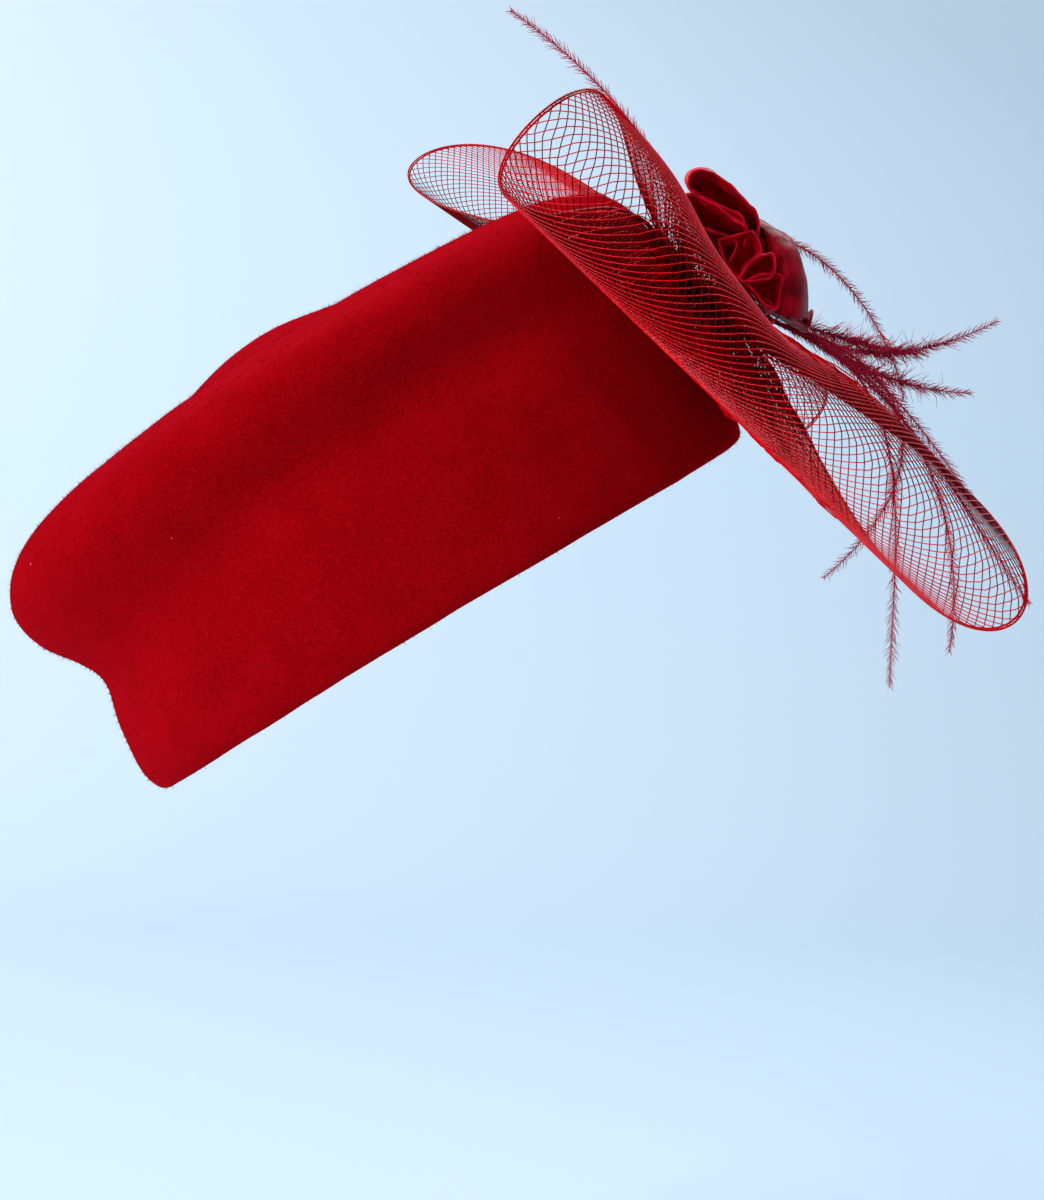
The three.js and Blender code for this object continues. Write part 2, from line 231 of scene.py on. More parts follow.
def addBump(finish, height, bump, before=None):
    sources = {"Height": height}
    if before:
        sources["Normal"] = before
    values = {"Strength": bump["strength"], "Distance": bump["distance"]}
    return addNode(finish, "ShaderNodeBump", sources, **values).outputs["Normal"]


# Sockets of a mix, by their place
mixOf = {"firstNumber": 2, "secondNumber": 3, "number": 0, "firstColour": 6, "secondColour": 7, "colour": 2}

feltLook = {
    "tones": (
        (0.38, (0.19, 0.0002, 0.0012)),
        (0.50, (0.265, 0.0003, 0.0020)),
        (0.64, (0.34, 0.0008, 0.0045)),
    ),
    "mottle": 70, "fibre": 1500, "tuft": 420, "fibreShare": 0.78,
    "lint": (0.75, 0.30, 0.32), "lintSpacing": 62, "lintRadius": 0.012, "lintFade": 0.019,
    "coarseBump": {"strength": 0.35, "distance": 0.0006}, "fineBump": {"strength": 0.55, "distance": 0.0003},
}


def feltFinish():
    felt = newFinish("redFelt", Roughness=1.0, Sheen_Weight=0.22, Sheen_Roughness=0.6,
                     Sheen_Tint=(1.0, 0.02, 0.05, 1), Specular_IOR_Level=0.0)
    where = addNode(felt, "ShaderNodeTexCoord").outputs["Object"]
    mottle = addNoise(felt, where, feltLook["mottle"], detail=5, roughness=0.6)
    fibre = addNoise(felt, where, feltLook["fibre"], detail=3, roughness=0.7)
    tuft = addNoise(felt, where, feltLook["tuft"], detail=4, roughness=0.65)
    grain = addNode(felt, "ShaderNodeMix", {mixOf["firstNumber"]: mottle, mixOf["secondNumber"]: fibre},
                    Factor=feltLook["fibreShare"])
    colour = blendColours(felt, grain.outputs[mixOf["number"]], *feltLook["tones"])
    specks = addNode(felt, "ShaderNodeTexVoronoi", {"Vector": where}, Scale=feltLook["lintSpacing"])
    spot = blendColours(felt, specks.outputs["Distance"],
                        (feltLook["lintRadius"], (1, 1, 1)), (feltLook["lintFade"], (0, 0, 0)))
    linted = addNode(felt, "ShaderNodeMix", {"Factor": spot, mixOf["firstColour"]: colour}, data_type="RGBA")
    linted.inputs[mixOf["secondColour"]].default_value = (*feltLook["lint"], 1)
    plug(felt, linted.outputs[mixOf["colour"]], "Base Color")
    coarse = addBump(felt, tuft, feltLook["coarseBump"])
    plug(felt, addBump(felt, fibre, feltLook["fineBump"], coarse), "Normal")
    return felt


# The two sets of threads, the doubled edge and the pleats each have their own gloss and colour. The threads
# are one nylon: the warp's dark red is painted shade on the ribbon's shaded face, the weft's bright red is
# painted light glowing through it, and the edge's deeper red is painted shade as well.
netLook = {
    "warp": {"colour": (0.12, 0.0003, 0.002), "gloss": 0.05},
    "litWeft": {"colour": (0.80, 0.0014, 0.008), "gloss": 0.12},
    "edge": {"colour": (0.48, 0.0012, 0.006), "gloss": 0.08},
    "pleat": {"colour": (0.66, 0.0010, 0.006), "gloss": 0.05},
    "patches": 140, "darker": 0.72, "darkTo": 0.35, "lightFrom": 0.65,
}


def netFinish(kind):
    look = netLook[kind]
    finish = newFinish("net" + kind.title(), Roughness=0.28, Specular_IOR_Level=look["gloss"],
                       Specular_Tint=(1.0, 0.15, 0.2, 1))
    where = addNode(finish, "ShaderNodeTexCoord").outputs["Object"]
    drift = addNoise(finish, where, netLook["patches"], detail=2)
    dark = tuple(netLook["darker"] * c for c in look["colour"])
    stops = (netLook["darkTo"], dark), (netLook["lightFrom"], look["colour"])
    plug(finish, blendColours(finish, drift, *stops), "Base Color")
    return finish


# One satin in two copies: the outer and round petals and the backing take the darker copy, which is painted
# shade, and the folds with a profile and the bud take the lighter copy, which is painted light on the faces
# inside the folds.
satinLook = {
    "shadedCrimsonSatin": (
        (0.32, (0.09, 0.0002, 0.003)),
        (0.50, (0.24, 0.0006, 0.008)),
        (0.70, (0.40, 0.002, 0.018)),
    ),
    "litCrimsonSatin": (
        (0.32, (0.30, 0.0006, 0.007)),
        (0.50, (0.62, 0.0015, 0.020)),
        (0.70, (0.85, 0.006, 0.040)),
    ),
    "crush": 150, "weave": 46,
    "crushBump": {"strength": 0.5, "distance": 0.0012}, "weaveBump": {"strength": 0.12, "distance": 0.0002},
}


def satinFinish(name):
    satin = newFinish(name, Roughness=0.38, Sheen_Weight=0.08, Sheen_Roughness=0.3,
                      Sheen_Tint=(1.0, 0.10, 0.20, 1), Specular_IOR_Level=0.14,
                      Specular_Tint=(1.0, 0.25, 0.35, 1))
    where = addNode(satin, "ShaderNodeTexCoord")
    crush = addNoise(satin, where.outputs["Object"], satinLook["crush"], detail=4, roughness=0.55)
    plug(satin, blendColours(satin, crush, *satinLook[name]), "Base Color")
    weave = addNode(satin, "ShaderNodeTexWave", {"Vector": where.outputs["UV"]},
                    Scale=satinLook["weave"], Distortion=0.4)
    crushed = addBump(satin, crush, satinLook["crushBump"])
    plug(satin, addBump(satin, weave.outputs["Fac"], satinLook["weaveBump"], crushed), "Normal")
    return satin


# Colours from a barb's root to its tip
featherTones = ((0.0, (0.22, 0.001, 0.012)), (0.4, (0.42, 0.003, 0.028)), (1.0, (0.60, 0.016, 0.070)))


def featherFinish():
    feather = newFinish("burgundyFeather", Roughness=0.7, Sheen_Weight=0.1, Sheen_Tint=(1.0, 0.15, 0.25, 1),
                        Specular_IOR_Level=0.1)
    share = addNode(feather, "ShaderNodeAttribute", attribute_name="share").outputs["Fac"]
    plug(feather, blendColours(feather, share, *featherTones), "Base Color")
    return feather


# Crown. level is a share of the height, front and back are shares of the half length, side of the half width.
# A dent's around and spread are degrees from the front towards the left side. The crown's heart, the middle
# that its outside looks away from, is at a share of the height too.
crown = {
    "halfLength": 0.113, "halfWidth": 0.086, "height": 0.103, "wall": 0.0022, "sideArch": 0.006, "tilt": 31.6,
    "around": 216, "up": 96, "lumps": 0.0007, "lumpSize": 0.022, "heart": 0.4,
    "sections": [
        {"level": 0.081, "front": 0.925, "back": 0.925, "side": 0.925},
        {"level": 0.022, "front": 0.930, "back": 0.930, "side": 0.930},
        {"level": 0.000, "front": 0.955, "back": 0.952, "side": 0.955},
        {"level": 0.026, "front": 0.975, "back": 0.978, "side": 0.980},
        {"level": 0.102, "front": 0.983, "back": 0.993, "side": 0.990},
        {"level": 0.245, "front": 0.995, "back": 0.975, "side": 0.990},
        {"level": 0.382, "front": 1.008, "back": 0.952, "side": 0.975},
        {"level": 0.469, "front": 1.016, "back": 0.978, "side": 0.965},
        {"level": 0.580, "front": 1.025, "back": 1.046, "side": 0.965},
        {"level": 0.693, "front": 1.035, "back": 1.060, "side": 0.985},
        {"level": 0.785, "front": 1.015, "back": 1.000, "side": 0.985},
        {"level": 0.862, "front": 0.955, "back": 0.885, "side": 0.925},
        {"level": 0.920, "front": 0.830, "back": 0.725, "side": 0.785},
        {"level": 0.958, "front": 0.620, "back": 0.545, "side": 0.580},
        {"level": 0.986, "front": 0.330, "back": 0.320, "side": 0.320},
        {"level": 1.000, "front": 0.000, "back": 0.000, "side": 0.000},
    ],
    "dents": [
        {"around": -72, "spread": 30, "level": 0.60, "rise": 0.13, "inward": 0.056, "lift": 0},
        {"around": -112, "spread": 20, "level": 0.50, "rise": 0.12, "inward": 0.034, "lift": 0},
        {"around": 85, "spread": 38, "level": 0.58, "rise": 0.14, "inward": 0.036, "lift": 0},
        {"around": -150, "spread": 22, "level": 0.84, "rise": 0.10, "inward": -0.020, "lift": 0.010},
        {"around": 110, "spread": 32, "level": 0.925, "rise": 0.095, "inward": 0, "lift": 0.084},
        {"around": -88, "spread": 42, "level": 0.97, "rise": 0.045, "inward": 0, "lift": -0.08},
        {"around": 98, "spread": 43, "level": 0.955, "rise": 0.052, "inward": 0, "lift": 0.165},
        {"around": 180, "spread": 30, "level": 0.37, "rise": 0.08, "inward": 0.010, "lift": 0},
    ],
}
onHat = Matrix.Rotation(-math.radians(crown["tilt"]), 4, "Y")
crownHeart = onHat @ Vector((0, 0, crown["heart"] * crown["height"]))


# A smooth curve from start to end, led by the values before and after them
def curveBetween(before, start, end, after, share):
    return 0.5 * (2 * start + (end - before) * share + (2 * before - 5 * start + 4 * end - after) * share ** 2
                  + (3 * start - before - 3 * end + after) * share ** 3)


# One value of the crown's sections, on a smooth curve through its neighbours
def sectionAt(key, place):
    rows = crown["sections"]
    last = len(rows) - 1
    k = min(int(place), last - 1)
    before, start, end = rows[max(k - 1, 0)][key], rows[k][key], rows[k + 1][key]
    if k + 2 <= last:
        after = rows[k + 2][key]
    else:
        after = start if key == "level" else -start  # the curve runs on over the middle of the top
    return curveBetween(before, start, end, after, place - k)


def crownPoint(place, around):
    level, side = sectionAt("level", place), sectionAt("side", place)
    reach = sectionAt("front" if math.cos(around) > 0 else "back", place)
    inward = lift = 0
    for dent in crown["dents"]:
        turn = math.remainder(around - math.radians(dent["around"]), 2 * math.pi)
        away = turn / math.radians(dent["spread"])
        strength = math.exp(-away ** 2 - ((level - dent["level"]) / dent["rise"]) ** 2)
        inward += dent["inward"] * strength
        lift += dent["lift"] * strength
    shrink = 1 - inward * crown["height"] / crown["halfWidth"]
    arch = crown["sideArch"] * (math.sin(around) * (1 - level)) ** 2
    return Vector((
        crown["halfLength"] * reach * math.cos(around) * shrink,
        crown["halfWidth"] * side * math.sin(around) * shrink,
        crown["height"] * (level + lift * side) + arch,
    ))


def makeCrown(felt):
    last = len(crown["sections"]) - 1
    wall = layPatch("feltCrown", crown["around"], crown["up"],
                    lambda x, y: onHat @ crownPoint(y * last, x * 2 * math.pi))
    faceAway(wall, crownHeart)
    lumps = bpy.data.textures.new("feltLumps", "CLOUDS")
    lumps.noise_scale = crown["lumpSize"]
    addModifier(wall, "DISPLACE", texture=lumps, texture_coords="LOCAL", mid_level=0.5,
                strength=crown["lumps"])
    addModifier(wall, "SOLIDIFY", thickness=crown["wall"], offset=-1)
    finishPiece(wall, felt, "felt_crown")
    return wall


# Short hairs that stand out of the felt, each a slim spike on three corners
nap = {
    "count": 46000, "length": 0.0018, "shortest": 0.3, "radius": 0.000055, "sunk": 0.0001, "lean": 0.9,
    "corners": 3, "seed": 11,
}


def makeNap(wall, felt):
    draw = random.Random(nap["seed"])
    outside = [f for f in wall.data.polygons if (f.center - crownHeart).dot(f.normal) > 0]
    chosen = draw.choices(outside, [f.area for f in outside], k=nap["count"])
    points, faces = [], []
    for f in chosen:
        corners = [wall.data.vertices[k].co for k in f.vertices]
        mix = [draw.random() for _ in corners]
        root = sum((c * m for c, m in zip(corners, mix)), Vector()) / sum(mix) - f.normal * nap["sunk"]
        lean = Vector([draw.uniform(-1, 1) for _ in range(3)]) * nap["lean"]
        reach = nap["length"] * draw.uniform(nap["shortest"], 1.0) ** 2
        side = f.normal.orthogonal().normalized() * nap["radius"]
        first = len(points)
        for k in range(nap["corners"]):
            turn = math.radians(360 / nap["corners"] * k)
            points.append(root + Matrix.Rotation(turn, 3, f.normal) @ side)
        points.append(root + (f.normal + lean).normalized() * reach)
        a, b, c, tip = range(first, first + 4)
        faces += [(a, c, b), (a, b, tip), (b, c, tip), (c, a, tip)]
    finishPiece(addMesh("feltNap", points, faces), felt)


# Bow. Its frame has forward from the knot first, then left, then up along the knot.
# waist and nip are hollows of a wing's front layer, beside the knot and above it: at and spread are shares of
# the half width, and a wing's own value says how deep its hollow is.
bow = {
    "lean": 13.4, "halfWidth": 0.088, "room": 0.003, "wall": 0.0012, "pinch": 0.011, "reach": 0.112,
    "depth": 0.032, "gatherDepth": 0.002, "gathers": 4, "gatherFade": 6, "sweepPower": 1.1,
    "layerGap": 0.0024, "clearance": 0.0003,
    "fullest": 0.7698,  # sin(2a) * sin(a) at its most
    "waist": {"at": -0.05, "spread": 0.38}, "nip": {"at": 0.36, "spread": 0.22},
    "knotHalfLength": 0.006, "knotHalfWidth": 0.014, "knotBack": 0.0035, "knotFront": 0.008,
    "right": {
        "side": -1, "rise": -0.280, "sweep": -0.070, "twist": 0, "depth": 1.00, "spread": 0.12, "fan": 0.5,
        "waist": 0.52, "nip": 0.18,
    },
    "left": {
        "side": 1, "rise": 0.272, "sweep": -0.205, "twist": 1, "depth": 0.82, "spread": 0.05, "fan": 0.7,
        "waist": 0, "nip": 0,
    },
}
knotLow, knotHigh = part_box("bow_knot")
bowTurn = Matrix.Rotation(-math.radians(crown["tilt"] + bow["lean"]), 4, "Y")
knotMiddle = Vector(((bow["knotFront"] - bow["knotBack"]) / 2, 0, 0))
onBow = Matrix.Translation((knotLow + knotHigh) / 2 - bowTurn @ knotMiddle) @ bowTurn
bowToHat = onHat.inverted() @ onBow
hatToBow = bowToHat.inverted()


# Where a ribbon would run into the felt, it lies against the outside of the crown instead
def againstCrown(point):
    place = bowToHat @ point
    level = place.z / crown["height"]
    if level < 0 or level > 1:
        return point
    rows = crown["sections"][2:]
    k = next(i for i in range(1, len(rows)) if rows[i]["level"] >= level)
    share = (level - rows[k - 1]["level"]) / (rows[k]["level"] - rows[k - 1]["level"])
    front = rows[k - 1]["front"] + (rows[k]["front"] - rows[k - 1]["front"]) * share
    side = rows[k - 1]["side"] + (rows[k]["side"] - rows[k - 1]["side"]) * share
    inside = math.hypot(place.x / (crown["halfLength"] * front + bow["room"]),
                        place.y / (crown["halfWidth"] * side + bow["room"]))
    if inside > 1 or inside == 0:
        return point
    return hatToBow @ Vector((place.x / inside, place.y / inside, place.z))


def hollowAt(q, hollow):
    return math.exp(-((q - hollow["at"]) / hollow["spread"]) ** 2)


# The ribbon leaves the knot in front, turns round at the wing's end and comes back behind.
def ribbonPoint(wing, along, across):
    turn = math.pi * along
    out = math.sin(turn) ** 2
    q = 2 * across - 1  # from -1 at the ribbon's foot to 1 at its top
    start = bow["knotHalfLength"] + bow["clearance"] + bow["wall"] / 2
    halfWidth = bow["pinch"] + (bow["halfWidth"] - bow["pinch"]) * out ** wing["fan"]
    belly = wing["depth"] * bow["depth"] / 2 / bow["fullest"]
    layer = belly * math.sin(2 * turn) * math.sin(turn) + bow["layerGap"] / 2 * math.cos(turn)
    gather = bow["gatherDepth"] * math.cos(math.pi * bow["gathers"] * q) * (1 - out) ** bow["gatherFade"]
    inFront = along < 0.5
    if inFront:
        layer *= 1 - wing["waist"] * hollowAt(q, bow["waist"]) - wing["nip"] * hollowAt(q, bow["nip"])
    lean = wing["sweep"] * (1 + wing["twist"] * q) * bow["halfWidth"] * out ** bow["sweepPower"]
    return againstCrown(Vector((
        layer * (1 + wing["spread"] * q) + lean + gather,
        wing["side"] * (start + (bow["reach"] - start) * out),
        wing["rise"] * bow["halfWidth"] * out + q * halfWidth,
    )))


# Shares along a wing's ribbon for equal steps of its length
def ribbonLengths(wing, count=200):
    shares = [k / count for k in range(count + 1)]
    points = [ribbonPoint(wing, s, 0.5) for s in shares]
    lengths = [0.0]
    for a, b in zip(points, points[1:]):
        lengths.append(lengths[-1] + (b - a).length)
    return shares, lengths


# The net is cut on the bias: its two sets of threads cross the ribbon at 45 degrees, one on each face of it,
# lifted off its middle by a share of a thread. Its edge is doubled. nearAlong and nearAcross are small steps
# that the ribbon's slope is taken over.
net = {
    "spacing": 0.0019, "step": 0.0032, "thread": 0.00017, "lift": 0.9, "nearAlong": 0.004, "nearAcross": 0.01,
    "edgeThread": 0.0003, "edges": (0, 0.004, 0.996, 1), "edgeSteps": 110, "edgeSides": 5,
}


def facePoint(wing, along, across, face):
    nextAlong, nextAcross = net["nearAlong"], net["nearAcross"]
    here = ribbonPoint(wing, along, across)
    ahead = ribbonPoint(wing, min(along + nextAlong, 1), across)
    ahead -= ribbonPoint(wing, max(along - nextAlong, 0), across)
    over = ribbonPoint(wing, along, min(across + nextAcross, 1))
    over -= ribbonPoint(wing, along, max(across - nextAcross, 0))
    return onBow @ (here + ahead.cross(over).normalized() * (face * net["lift"]) * net["thread"])


# The threads of one set, for the face at 1 or -1 of a wing's ribbon
def netLines(wing, face):
    shares, lengths = ribbonLengths(wing)
    whole, width = lengths[-1], 2 * bow["halfWidth"]
    offset = net["spacing"] * math.sqrt(2)
    lines = []
    for k in range(int((whole + width) / offset) + 1):
        begin = k * offset + (0 if face > 0 else offset / 2)
        low, high = max(0.0, begin - width), min(whole, begin)
        if high - low < net["spacing"]:
            continue
        steps = max(2, round((high - low) * math.sqrt(2) / net["step"]))
        line = []
        for i in range(steps + 1):
            s = low + (high - low) * i / steps
            across = (begin - s) / width
            along = float(np.interp(s, lengths, shares))
            line.append(facePoint(wing, along, across if face > 0 else 1 - across, face))
        lines.append(line)
    return lines


def makeLoop(name, wing, finishes, node):
    parts = [drawThreads(name, netLines(wing, face), net["thread"]) for face in (1, -1)]
    steps = net["edgeSteps"]
    edges = []
    for across in net["edges"]:
        edges.append([onBow @ ribbonPoint(wing, k / steps, across) for k in range(steps + 1)])
    parts.append(drawThreads(name, edges, net["edgeThread"], sides=net["edgeSides"]))
    # The first face's threads take the warp's painted shade, the second face's take the weft's painted light,
    # and the edge threads take the edge's red, darkened as painted shade
    for k, part in enumerate(parts):
        for finish in finishes:
            part.data.materials.append(finish)
        for f in part.data.polygons:
            f.material_index = k
    loop = joinPieces(name, parts)
    finishPiece(loop, node=node)
    width, whole = 2 * bow["halfWidth"], ribbonLengths(wing)[1][-1]


# Close pleats where the ribbon is drawn into the knot, along both layers of each wing. The three kinds take
# turns: low and high say where a pleat may start across the ribbon, longest how far it may run.
pleats = {
    "count": 520, "points": 12, "start": 0.012, "reach": 0.27, "shortest": 0.4, "thread": 0.00022, "seed": 21,
    "stray": 0.0018, "mostStray": 0.0012, "ripple": 0.0005, "ripples": 1.3, "phases": 6, "climb": 0.6,
    "kinds": [
        {"low": 0, "high": 1, "longest": 1},
        {"low": 0.20, "high": 0.84, "longest": 1},
        {"low": 0.20, "high": 0.46, "longest": 1.4},
    ],
}


def makePleats(finish):
    draw = random.Random(pleats["seed"])
    last = pleats["points"] - 1
    lines = []
    for wing in (bow["right"], bow["left"]):
        for k in range(pleats["count"]):
            places = [draw.uniform(kind["low"], kind["high"]) for kind in pleats["kinds"]]
            turn = k // 2 % len(places)
            across = places[turn]
            reach = pleats["reach"] * draw.uniform(pleats["shortest"], pleats["kinds"][turn]["longest"])
            stray = draw.gauss(0, pleats["stray"])
            stray = max(-pleats["mostStray"], min(pleats["mostStray"], stray))
            phase = draw.uniform(0, pleats["phases"])
            line = []
            for i in range(pleats["points"]):
                along = pleats["start"] + (reach - pleats["start"]) * i / last
                ripple = pleats["ripple"] * math.sin(pleats["ripples"] * i + phase)
                drift = stray * math.sin(math.pi * i / last) + ripple
                here = ribbonPoint(wing, along if k % 2 else 1 - along, across)
                line.append(onBow @ (here + Vector((drift, 0, pleats["climb"] * drift))))
            lines.append(line)
    finishPiece(drawThreads("netPleats", lines, pleats["thread"]), finish)


# The knot is a strip of the same net wound tightly round the pinched middle.
knot = {
    "turns": 46, "steps": 40, "skin": 0.0006, "corner": 3.2, "swell": 0.10, "crease": 0.00035, "creases": 420,
    "slant": 0.0010, "phases": 6.28, "lift": 0.0001, "thread": 0.00022, "columns": 64, "rows": 20, "seed": 5,
}
knotHalf = {"length": bow["knotHalfLength"] - knot["skin"], "width": bow["knotHalfWidth"] - knot["skin"]}


# Round section of the knot, seen along the bow, swollen a little in its middle
def knotPoint(turn, y, lift):
    back, front = -bow["knotBack"] + knot["skin"], bow["knotFront"] - knot["skin"]
    c, s = math.cos(turn), math.sin(turn)
    swell = 1 - knot["swell"] * (y / knotHalf["length"]) ** 2
    square = (abs(c) ** knot["corner"] + abs(s) ** knot["corner"]) ** (-1 / knot["corner"])
    middle, half = (front + back) / 2, (front - back) / 2
    return onBow @ Vector((
        middle + (half * swell + lift) * c * square,
        y,
        (knotHalf["width"] * swell + lift) * s * square,
    ))


def makeKnot(coreFinish, windingFinish):
    halfLength = knotHalf["length"]
    draw = random.Random(knot["seed"])
    core = layPatch("knotCore", knot["columns"], knot["rows"],
                    lambda x, y: knotPoint(x * 2 * math.pi, (2 * y - 1) * halfLength, 0))
    faceAway(core, (knotLow + knotHigh) / 2)
    for corner in core.data.vertices:
        corner.co += corner.normal * knot["crease"] * noise.noise(corner.co * knot["creases"])
    wraps = []
    for k in range(knot["turns"]):
        y = ((k + 0.5) / knot["turns"] * 2 - 1) * halfLength
        slant = draw.uniform(-knot["slant"], knot["slant"])
        phase = draw.uniform(0, knot["phases"])
        wrap = []
        for t in range(knot["steps"] + 1):
            turn = 2 * math.pi * t / knot["steps"]
            aside = max(-halfLength, min(halfLength, y + slant * math.sin(turn + phase)))
            wrap.append(knotPoint(turn, aside, knot["lift"]))
        wraps.append(wrap)
    winding = drawThreads("knotWinding", wraps, knot["thread"])
    finishPiece(core, coreFinish, "bow_knot")
    finishPiece(winding, windingFinish)


# Rose. Its frame has left first, then up, then forward along its own axis. Plain petals stand round the far
# side: around and halfSpan are degrees, foot and reach shares of the radius, rise a share of the height. The
# round petals look away from the rose's heart, on its axis.
rose = {
    "radius": 0.030, "height": 0.023, "backing": 0.002, "backingRadius": 0.0165, "wall": 0.0007,
    "cup": 1.35, "round": 0.3, "lip": 0.7, "seat": 0.0006, "footSpan": 0.82, "moreSpan": 0.18, "heart": 0.008,
    "plain": {
        "rosePetalInnerLeft": {
            "node": "rose_petal_inner_1",
            "around": 40, "halfSpan": 54, "foot": 0.24, "reach": 0.44, "rise": 0.80,
        },
        "rosePetalInnerLow": {
            "node": "rose_petal_inner_4",
            "around": 318, "halfSpan": 50, "foot": 0.30, "reach": 0.50, "rise": 0.80,
        },
        "rosePetalOuterLeft": {
            "node": "rose_petal_outer_5",
            "around": 18, "halfSpan": 47, "foot": 0.50, "reach": 1.02, "rise": 0.50,
        },
        "rosePetalOuterFar": {
            "node": None,
            "around": 318, "halfSpan": 36, "foot": 0.48, "reach": 0.95, "rise": 0.52,
        },
    },
    "ruffle": {
        "waves": 5.5, "share": 0.5, "noise": (2.2, 1.4, 3.7), "depth": 0.0016, "power": 1.5,
        "lipWaves": 7, "lipDepth": 0.0010,
    },
    "bud": {
        "turns": 1.75, "inner": 0.0013, "pitch": 0.00195, "flare": 0.45, "height": 0.0166,
        "ripples": 9, "ripple": 0.0003, "start": 0.98, "slope": 0.12,
    },
    "gathers": {"rim": 13, "rimDepth": 0.03, "waves": 26, "waveDepth": 0.0005},
    "petalGrid": (26, 22), "foldGrid": (54, 26), "budGrid": (72, 18), "backingGrid": (104, 12),
}

# Folds, in millimetres. One with a profile is that loop of satin, which shrinks towards its middle near its
# end: sides pairs a place across it with its size there. One with rows is laid through their points.
roseFolds = {
    "roseLoopUpper": {
        "node": "rose_petal_outer_1", "middle": (3, 12),
        "sides": ((-13, 1), (-7, 1.04), (0, 0.92), (6, 0.6), (9, 0.03)),
        "profile": ((1, 14), (5, 18.6), (9, 19.9), (15, 20.2), (21, 19.8), (27, 18.1), (30, 14.6), (28, 11.4),
                    (22, 12.2), (15, 14.6), (9, 16.0), (2, 10)),
    },
    "roseLoopUnder": {
        "node": "rose_petal_inner_2", "middle": (3, 6),
        "sides": ((-15, 1), (-9, 1.04), (-2, 0.9), (5, 0.6), (8, 0.03)),
        "profile": ((3, 10), (7, 15.2), (13, 13.6), (19, 12.0), (24, 10.0), (26, 7.2), (22, 4.8), (16, 5.2),
                    (10, 8.2), (5, 9), (3, 4)),
    },
    "roseFoldUpper": {
        "node": "rose_petal_outer_2", "middle": (1.5, 6.5),
        "sides": ((-17, 1), (-13, 0.95), (-8, 0.72), (-5, 0.03)),
        "profile": ((9.9, 5.9), (7, 9.9), (3.8, 14.2), (-1.2, 13.2), (-2.1, 10.2), (-1.9, 6), (-2.7, 2.6),
                    (3, 2.6), (9.9, 5.9)),
    },
    "roseFoldMiddle": {
        "node": "rose_petal_inner_3", "middle": (-4.6, 8.4),
        "sides": ((-18, 1), (-14, 0.92), (-9, 0.66), (-6, 0.03)),
        "profile": ((-2.6, 2.6), (-1.7, 7.6), (-2.1, 11.7), (-5.0, 14.2), (-8.1, 12.4), (-8.6, 9.6),
                    (-6.4, 6.1), (-4.6, 2.6), (-2.6, 2.6)),
    },
    "roseFoldLower": {
        "node": None, "middle": (-10, 6.6),
        "sides": ((-17.5, 1), (-14, 0.94), (-9, 0.7), (-6, 0.03)),
        "profile": ((-4.8, 2.6), (-6.5, 6.1), (-9, 9.8), (-12.2, 11.0), (-14.6, 8.2), (-17.4, 3.8),
                    (-11, 2.6), (-4.8, 2.6)),
    },
    "rosePetalRound": {
        "node": "rose_petal_outer_3",
        "rows": (
            ((-10, -0.5, 16.8), (-13, -7.0, 13.4), (-14.5, -12.5, 9), (-14, -17.6, 3.6)),
            ((-9, 2.5, 18.2), (-14.5, -7, 17.4), (-17, -15.5, 12), (-16, -21.5, 5.5)),
            ((-5, 7.6, 17.8), (-10, -6.5, 21.6), (-13, -17.5, 15.6), (-13, -25, 7.5)),
            ((1, 10, 18.2), (-2, -5, 23), (-4, -17.5, 17.6), (-4, -27, 9.5)),
            ((8, 9.4, 17.2), (8, -5, 21), (8, -17, 15.5), (6, -25, 8)),
        ),
    },
    "rosePetalLower": {
        "node": "rose_petal_outer_4",
        "rows": (
            ((-14, -12, 2.8), (-16, -18, 4.3), (-16, -23, 5.6), (-14, -26.5, 6.4)),
            ((-8, -14, 2.8), (-9, -21, 4.3), (-9, -27.5, 6), (-7.5, -29.4, 7.5)),
            ((0, -14, 2.8), (0, -21, 5), (0, -27, 8.5), (0, -26.2, 13)),
            ((9, -13, 2.8), (10, -20, 4.5), (11, -25, 7), (11, -26, 9)),
        ),
    },
    "roseFoldTuck": {
        "node": None,
        "rows": (
            ((-6, -3, 15), (-6, 1, 18.4), (-6, 4, 19.2), (-6, 9, 18.4)),
            ((0, -3, 15.6), (0, 1, 19), (0, 4, 19.8), (0, 9, 19)),
            ((7, -3, 15.2), (7, 1, 18.6), (7, 4, 19.4), (7, 9, 18.6)),
        ),
    },
}

# Broad and fine lumps of the crushed satin, and pulls that run along a fold
crush = {
    "broad": 0.14, "fine": 0.45, "fineShare": 0.45, "depth": 1.5,
    "pulls": 9, "pullShift": 3, "pullBend": 4, "bendScale": 0.1, "pullDepth": 0.4, "way": (0.5, 0.5, 0.7),
}

# Seeds of the first plain petal and the first fold, each later one's being one more
roseSeeds = {"plain": 0.3, "folds": 4.7}

# The spray's frame and the rose's both start in front of the knot
onSpray = onBow @ Matrix.Translation((bow["knotFront"] + bow["clearance"], 0, 0))
onRose = onSpray @ Matrix(((0, 0, 1, 0), (1, 0, 0, 0), (0, 1, 0, 0), (0, 0, 0, 1)))


# A place on a smooth curve through points
def curveThrough(points, share):
    last = len(points) - 1
    k = min(int(share * last), last - 1)
    around = [Vector(points[min(max(k + i, 0), last)]) for i in (-1, 0, 1, 2)]
    return curveBetween(*around, share * last - k)


